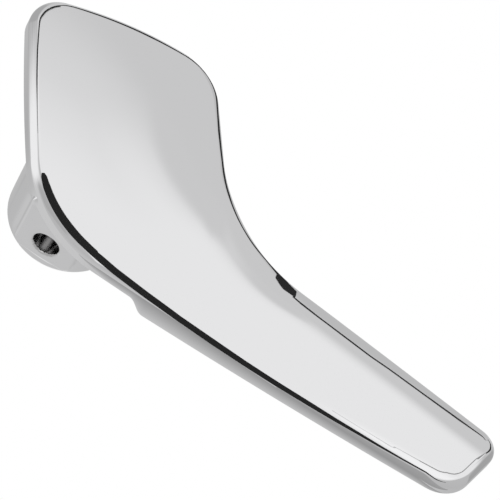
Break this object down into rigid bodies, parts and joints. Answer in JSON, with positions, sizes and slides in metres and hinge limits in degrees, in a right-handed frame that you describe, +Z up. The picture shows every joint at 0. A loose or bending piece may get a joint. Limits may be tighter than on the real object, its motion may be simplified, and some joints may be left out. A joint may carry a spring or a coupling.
{
  "type": "car interior door handle",
  "caption": "Chrome lever handle for the inside of a car door: broad rounded head, tapering hollow-backed arm, and a round boss behind with a square spindle socket and a set-screw hole.",
  "frame": {"origin": "middle of the spindle socket's mouth, on the end face of the boss", "axes": "+X along the arm to its tip, +Y along the spindle into the door, so the face looks toward -Y, +Z up"},
  "size_m": [0.1452, 0.0254, 0.068],
  "materials": {
    "handle": "polished mirror chrome"
  },
  "bodies": {
    "root": {"handle": "handle"}
  },
  "joints": []
}
